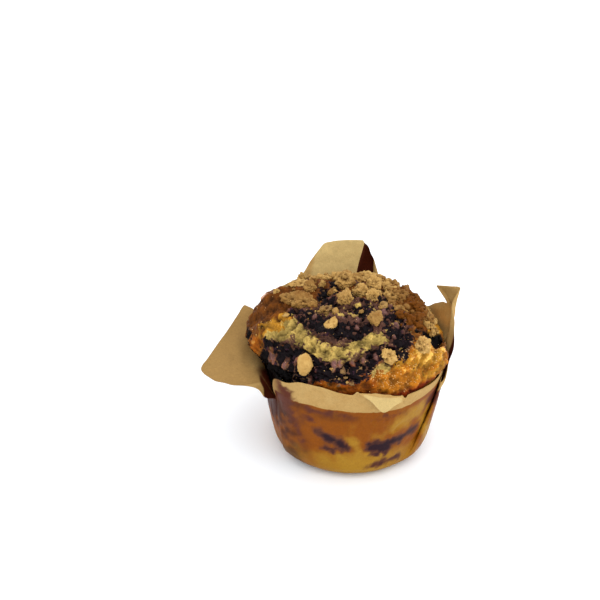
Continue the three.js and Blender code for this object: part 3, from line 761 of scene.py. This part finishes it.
# Oven-browned sponge: matt open crumb, a thin caramelised crust with a low sugar shine, and set berry filling
# that is nearly black and wet-looking.
patch_size = 3.5  # mm, of the uneven browning
pore_size = 0.7  # mm, the open pores of the crumb
cake_material, tree, shader = new_material("sponge_baked_with_berries")
mottle = texture(tree, patch_size, Detail=5.0, Roughness=0.65)
grain = texture(tree, pore_size, Detail=3.0, Roughness=0.6)
crust_tone = blend(tree, mottle, "5c2e0a", "905818")
cake_layers = [
    ("browned", "5e3208", 0.3, 0.7, 0.5),
    ("lobe", "a46212", 0.35, 0.65, 0.35),
    ("golden", "a87420", 0.3, 0.8, 0.5),
    # painted highlight on the raised blisters of the crust lobes
    ("crown", "c89a48", 0.4, 1.2, 0.4),
    ("edge", "641e00", 0.1, 0.7, 0.5),
    ("crumb", "aa8e4a", 0.38, 0.62, 0.25),
    ("stained", "583a2e", 0.25, 0.8, 0.4),
    ("berry", "46261e", 0.32, 0.48, 0.2),
    ("berry", "0e0508", 0.42, 0.6, 0.2),
    # berry purple with a painted highlight on the tops of the filling's lumps
    ("purple", "301824", 0.35, 1.0, 0.5),
    ("dyed", "74504a", 0.3, 0.9, 0.4),
    # sugar on the back-left rim, with a painted highlight where the rim catches the light
    ("frosted", "b89078", 0.4, 0.8, 0.4),
    # painted shade, nearly black, in the hollows and gaps
    ("deep", "080303", 0.4, 0.8, 0.2),
]
tone = wash(tree, crust_tone, cake_layers, mottle)
# painted shade in the hollows of the relief and painted light on its bumps
hollow = add_node(tree, "Attribute", {"attribute_name": "pit"}).outputs["Fac"]
tone = shaded(tree, tone, hollow, 0.05, 0.95, 1.5, 0.36)
tone = shaded(tree, tone, grain, 0.3, 0.7, 0.7, 1.25)
tree.links.new(tone, shader.inputs["Base Color"])
wet = add_node(tree, "Attribute", {"attribute_name": "berry"}).outputs["Fac"]
matt = add_node(tree, "MapRange", {}, {
    "Value": wet, "From Min": 0.4, "From Max": 0.7, "To Min": 0.6, "To Max": 0.36,
})
tree.links.new(matt.outputs[0], shader.inputs["Roughness"])
shader.inputs["Specular IOR Level"].default_value = 0.07
emboss(tree, shader, grain, 0.6, 0.4)

berry_cake = new_piece("berry_cake", cake_mesh, cake_material)
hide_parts("cake")
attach(berry_cake, "root")


# ---- Streusel nuggets -------------------------------------------------------------------------------------
# The largest lumps of butter streusel: flour, sugar and butter rubbed together, strewn on the batter and
# baked on. Each is a clump of grains that stuck to one another.

# Baked butter crumb: dry, matt and sandy, with painted shade that darkens its creases and leaves it pale
# where it stands proud.
toast_size = 2.2  # mm, of its uneven browning
sand_size = 0.45  # mm, the grains of sugar and flour
streusel, tree, shader = new_material("streusel_baked_butter_crumb")
mottle = texture(tree, toast_size, Detail=4.0)
tone = wash(tree, blend(tree, mottle, "946a2e", "cea966"), [
    ("toast", "643604", 0.2, 1.0, 0.4),
    # painted shade in the creases between grains
    ("pit", "4c2a08", 0.25, 0.9, 0.2),
    ("stained", "3c2226", 0.3, 0.9, 0.6),
], mottle)
tree.links.new(tone, shader.inputs["Base Color"])
shader.inputs["Roughness"].default_value = 0.72
shader.inputs["Specular IOR Level"].default_value = 0.1
emboss(tree, shader, texture(tree, sand_size, Detail=3.0), 0.6, 0.2)

nugget_sink = 1.2  # how deep a nugget is baked into the dome
# place from above, width, depth and height, turn, and how brown and how berry-stained it is
nuggets = {
    "nugget_left_slab": ((-22.1, -0.1), (16.4, 8, 5.6), -12, 0.6, 0.1),
    "nugget_left_curl": ((-18.2, 8.9), (5.8, 5, 4.6), 30, 0.55, 0),
    "nugget_crest_left": ((-3.3, 11.8), (7.2, 7, 8.4), 20, 0.45, 0),
    "nugget_crest_low": ((-3.1, -2.3), (6.8, 5.8, 5.8), 60, 0.4, 0.3),
    "nugget_crest_middle": ((2.6, 5.4), (6.4, 6, 6.6), 40, 0.3, 0),
    "nugget_crest_right": ((7.8, 13.8), (6.4, 6, 6.6), 70, 0.3, 0),
    "nugget_crest_edge": ((7.9, 0.2), (5.4, 5, 5.4), 100, 0.25, 0),
    "nugget_top_left": ((-10.6, -6), (6.6, 5, 4.4), 10, 0.4, 0.5),
    "nugget_front_oval": ((-17.7, -31.2), (6.4, 9, 5), -25, 0, 0.1),
    "nugget_front_right": ((13.9, -29.6), (6, 5.4, 5.2), 15, 0.1, 0.1),
    "nugget_hollow_right": ((26.9, -22.5), (7.2, 6.4, 6.6), -40, 0, 0),
    "nugget_berry_patch": ((-8.4, -18.6), (5, 4.2, 3.8), 30, 0, 0),
    "nugget_patch_right": ((9.5, -16.3), (6.2, 5.6, 5), 75, 0.45, 0.2),
}


def seat(at_x, at_y, size, turn, sink):
    """Where a lump of that size stands on the dome: its place, and its axes tilted with the surface."""
    up = dome_normal(at_x, at_y)
    middle = Vector((at_x, at_y, float(dome_height(at_x, at_y)))) + up * (size[2] / 2 - sink)
    tilt = Vector((0, 0, 1)).rotation_difference(up).to_matrix().to_4x4()
    spin = Matrix.Rotation(math.radians(turn), 4, "Z")
    return Matrix.Translation(middle) @ tilt @ spin @ Matrix.Diagonal((*[s / 2 for s in size], 1))


for number, (name, (at, size, turned, toast, stained)) in enumerate(nuggets.items()):
    lump = bmesh.new()
    bmesh.ops.create_icosphere(lump, subdivisions=6, radius=0.97)
    ball = np.array([v.co[:] for v in lump.verts])
    axes = np.array(seat(*at, size, turned, nugget_sink))
    points = ball @ axes[:3, :3].T + axes[:3, 3]
    away = ball @ np.linalg.inv(axes[:3, :3])
    away /= np.linalg.norm(away, axis=1, keepdims=True)

    # Clumps of grains, a broad swell and grit; the pressed oval at the front is smoother than the rest
    bent = points + 0.7 * noise_at(points, 1.8, number)[:, None]
    clumps, _ = lumps_at(bent + number, 1.9)
    swell = noise_at(points, 4.6, number * 1.7, octaves=4)
    grit = noise_at(points, 0.8, number * 2.3, octaves=2)
    rugged = 0.35 if name == "nugget_front_oval" else 1
    proud = rugged * (1.1 * (0.42 - clumps) + 1.5 * swell + 0.4 * grit)
    points += away * proud[:, None]

    mesh = bpy.data.meshes.new(name + "_baked")
    lump.to_mesh(mesh)
    lump.free()
    put_points(mesh, points)
    # painted shade in the creases, from how far each place stands proud
    give(mesh, pit=0.28 - 0.36 * proud, toast=toast + 0.25 * swell, stained=np.full(len(points), stained))
    piece = new_piece(name + "_baked", mesh, streusel)
    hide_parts(name)
    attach(piece, "root")


# ---- Streusel chunks, crumbs and fines --------------------------------------------------------------------
# Smaller pieces of the same streusel, strewn thickly over the back and the trough at the right, and thinly
# elsewhere. The chunks are baked into the cake, and the crumbs and fines lie on it and on the nuggets.
corners, sides = [], []
for mesh in [berry_cake.data] + [bpy.data.meshes[name + "_baked"] for name in nuggets]:
    sides += [[len(corners) + k for k in face.vertices] for face in mesh.polygons]
    corners += [v.co.copy() for v in mesh.vertices]
cake_tree = BVHTree.FromPolygons(corners, sides)


def flock(name, count, detail):
    """A mesh of many balls of radius 1 that all lie at the origin, one after another."""
    ball = bmesh.new()
    bmesh.ops.create_icosphere(ball, subdivisions=detail, radius=1)
    single = bpy.data.meshes.new(name + "_single")
    ball.to_mesh(single)
    ball.free()
    holder = bpy.data.objects.new(name, single)
    bpy.context.collection.objects.link(holder)
    repeat = holder.modifiers.new("repeat", "ARRAY")
    repeat.use_relative_offset = False
    repeat.count = count
    mesh = bpy.data.meshes.new_from_object(holder.evaluated_get(bpy.context.evaluated_depsgraph_get()))
    bpy.data.objects.remove(holder)
    mesh.name = name
    return mesh


def landing(x, y):
    """Where something dropped at x, y lands on the cake's top, and the way up there; None beside it."""
    hit, up, _, _ = cake_tree.ray_cast(Vector((x * MM, y * MM, 0.2)), Vector((0, 0, -1)))
    return (hit / MM, up) if hit and hit.z / MM > crust_line + 1 else None


# Where hardly any fine crumb lies: the slab, the crest's nuggets, the filling, the torn crumb and the pit
bare_marks = [
    (-29, 1.5, -15, -1.5, 3.8), (-3.3, 12, -3.2, 13, 4), (2.6, 5.4, 7.8, 13.8, 3.2), (8, 14, 8, 17, 4.6),
    (-12, -6, 8, -1, 3.4), (-40, 6, -30, -14, 5), (-14, 10, -9, -3, 3.2), (8.6, -15, 10.4, -17, 3),
    (12, 9, 12, -2, 1.9), (-24, -13, -20, -20, 5), (-16, -27, 10, -29, 5.4), (-14, -16, 4, -21, 5.4),
    (8, -18, 19, -24, 5), (31, -11, 38, -5, 3.6), (10, -36, 38, -16, 7), (-36, -20, -16, -35, 7),
    (-14, 6, -10, 0, 2.4), (38, 0, 36, 16, 3),
]


def cover(x, y):
    """How thickly the streusel lies at a place seen from above, from 0 to 1."""
    back = smooth((y + 2 + 0.3 * x) / 10)
    right_trough = smooth(1.4 - np.hypot(x - 25, y + 1) / 12)
    dark_hollow = smooth(1.4 - np.hypot(x + 12, y - 3) / 5)
    return np.maximum(back, right_trough) * (1 - dark_hollow)


def open_to_crumbs(x, y):
    """Where the finer crumbs may lie: not on the bare places, and thinning out in front of the crest."""
    behind_crest = smooth((y - 9 + 0.7 * np.clip(x, -20, 30)) / 12)
    in_trough = smooth(1.4 - np.hypot(x - 26, y + 1) / 11)
    thickest = np.maximum(np.maximum(behind_crest, in_trough), 0.06)
    return thickest * (1 - smooth(0.5 + strokes(x, y, bare_marks)))


def streusel_piece(name, placed, detail, octaves):
    """Joined crumbs, one for each row of placed: middle, width, a number from 0 to 1 of its own, and x, y."""
    mesh = flock(name, len(placed), detail)
    ball = mesh_points(mesh)
    each = np.repeat(placed, len(ball) // len(placed), axis=0)
    own = each[:, 4:5]
    stretch = 1 + 0.28 * np.sin(own * np.array([41.0, 67.0, 97.0]))
    bulge = noise_at(ball + 17 * each[:, :3], 0.95, octaves=octaves)
    put_points(mesh, each[:, :3] + ball * stretch * each[:, 3:4] / 2 * (1 + 0.62 * bulge)[:, None])
    in_filling = strokes(each[:, 5], each[:, 6], berry_marks + stained_marks) > 0
    browner_right = 0.7 * smooth((each[:, 5] - 13) / 12)
    paler_rim = 0.7 * smooth((each[:, 5] - 27) / 5)
    toast = 0.1 + each[:, 4] * 0.6 + browner_right - paler_rim
    # painted shade in the creases of each crumb
    give(mesh, pit=0.35 - 0.6 * bulge, toast=toast, stained=in_filling * np.maximum(0.9 - each[:, 4], 0))
    piece = new_piece(name, mesh, streusel)
    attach(piece, "root")


heap = 0.4  # mm that crumbs pile up where they lie thickest


def strew(name, seed, wanted, smallest, largest):
    """Crumbs of uneven size, thrown where the top is open to them, each standing on what it lands on."""
    draw = np.random.default_rng(seed)
    placed = []
    while len(placed) < wanted:
        x, y = draw.uniform(-40, 40, 2)
        wide = smallest + (largest - smallest) * draw.random() ** 2
        lies = landing(x, y)
        thick = open_to_crumbs(x, y)
        if lies is None or draw.random() > thick:
            continue
        spot, up = lies
        middle = spot + up * (0.25 * wide + heap * thick * draw.random() ** 2)
        placed.append((*middle, wide, draw.random(), x, y))
    streusel_piece(name, np.array(placed), detail=2, octaves=3)


# The chunks, by the same rule as the lumps that stand in the solid cake
chunk_count = 70
chunk_draw = random_from(20417)
chunks = []
while len(chunks) < chunk_count:
    reach = float(crust_radius(0)) * 0.9
    x, y = (2 * next(chunk_draw) - 1) * reach, (2 * next(chunk_draw) - 1) * reach
    wide = 2.6 + 2.6 * next(chunk_draw) * next(chunk_draw)
    next(chunk_draw)  # the turn of the solid cake's lump, which a round chunk doesn't need
    if math.hypot(x, y) > reach or next(chunk_draw) > cover(x, y):
        continue
    if any(math.hypot(x - at[0], y - at[1]) < max(size[:2]) / 2 + wide * 0.62 + gap
           for at, size, *_ in nuggets.values()):
        continue
    if any(math.hypot(x - c[5], y - c[6]) < (wide + c[3]) * 0.46 for c in chunks):
        continue
    middle = Vector((x, y, float(dome_height(x, y)))) + dome_normal(x, y) * wide * 0.1
    chunks.append((*middle, wide * 1.1, (7.31 * len(chunks)) % 1, x, y))
streusel_piece("streusel_chunks", np.array(chunks), detail=4, octaves=4)
strew("streusel_crumbs", seed=311, wanted=480, smallest=1.1, largest=2.8)
strew("streusel_fines", seed=907, wanted=2400, smallest=0.45, largest=1.3)


# ---- Sugar grains -----------------------------------------------------------------------------------------
# Coarse sugar that was sprinkled on with the streusel: tiny clear grains that glint on the crust lobes.

# Crystal sugar: clear amber grains with sharp facets and a hard shine.
sugar, tree, shader = new_material("sugar_coarse_crystal")
tint_size = 2  # mm, over which the grains go from darker to lighter amber
tone = blend(tree, texture(tree, tint_size), "c08030", "e6c080")
tree.links.new(tone, shader.inputs["Base Color"])
shader.inputs["Roughness"].default_value = 0.25
shader.inputs["IOR"].default_value = 1.54

grain_count = 700
sugar_marks = [
    (10, -36, 22, -33, 4), (20, -31, 36, -19, 4.5), (32, -22, 40, -12, 4.5),
    (-40, 5, -34, 8, 1), (-34, 8, -26, 12, 1), (-25, 22, -9, 25, 1),
]
draw = np.random.default_rng(3301)
placed = []
while len(placed) < grain_count:
    x, y = draw.uniform(-44, 44, 2)
    lies = landing(x, y)
    if lies is None or draw.random() > 0.02 + smooth(strokes(x, y, sugar_marks) / 3):
        continue
    placed.append((*lies[0], draw.uniform(0.2, 0.42)))
sugar_mesh = flock("sugar_grains", grain_count, 1)
balls = mesh_points(sugar_mesh)
each = np.repeat(np.array(placed), len(balls) // grain_count, axis=0)
jagged = 1 + 0.5 * noise_at(balls + 13 * each[:, :3], 0.7)
put_points(sugar_mesh, each[:, :3] + balls * each[:, 3:4] / 2 * jagged[:, None])
sugar_grains = new_piece("sugar_grains", sugar_mesh, sugar, smooth_faces=False)
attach(sugar_grains, "root")


# ---- Floor, light and camera ------------------------------------------------------------------------------
# A plain pale floor under soft studio light, seen from above the front.

# Matt painted board: an even, nearly white ground without shine.
floor_material, tree, shader = new_material("studio_board_matt_white")
board_cloud = 1000 / 3  # mm, of its barely uneven white
tone = blend(tree, texture(tree, board_cloud), "f5f8fa", "f8fbfd")
tree.links.new(tone, shader.inputs["Base Color"])
shader.inputs["Roughness"].default_value = 0.9
board = bmesh.new()
bmesh.ops.create_grid(board, x_segments=1, y_segments=1, size=3)
mesh = bpy.data.meshes.new("floor")
board.to_mesh(mesh)
board.free()
floor = new_piece("floor", mesh, floor_material)

softbox_place = Vector((0.3, -0.35, 1.0))
softbox_aim = Vector((0, 0, 0.04))
lamp = bpy.data.lights.new("softbox_right", "AREA")
lamp.size = 1.3
lamp.energy = 5.2
softbox = bpy.data.objects.new("softbox_right", lamp)
bpy.context.collection.objects.link(softbox)
softbox.location = softbox_place
softbox.rotation_euler = (softbox_aim - softbox_place).to_track_quat("-Z", "Y").to_euler()
world = bpy.data.worlds.new("studio")
bpy.context.scene.world = world
world.use_nodes = True
sky = world.node_tree.nodes["Background"]
sky.inputs["Color"].default_value = linear("fafcff")
sky.inputs["Strength"].default_value = 1.41
bpy.context.scene.view_settings.view_transform = "Standard"

camera_elevation = 34  # degrees above the table
camera_distance = 0.5  # from the middle of the case, at aim_height
aim_height = 0.035
image_width = 600  # pixels
focal_length = 1163  # in pixels of that image
camera = bpy.data.objects.new("camera", bpy.data.cameras.new("camera"))
bpy.context.collection.objects.link(camera)
camera.data.sensor_width = 36
camera.data.lens = focal_length / image_width * camera.data.sensor_width
raised = math.radians(camera_elevation)
towards_camera = Vector((0, -math.cos(raised), math.sin(raised)))
camera.location = towards_camera * camera_distance + Vector((0, 0, aim_height))
looked_at = Vector((-0.02188, 0, 0.06776))  # above and left of the muffin, which stands low in the image
camera.rotation_euler = (looked_at - camera.location).to_track_quat("-Z", "Y").to_euler()
bpy.context.scene.camera = camera
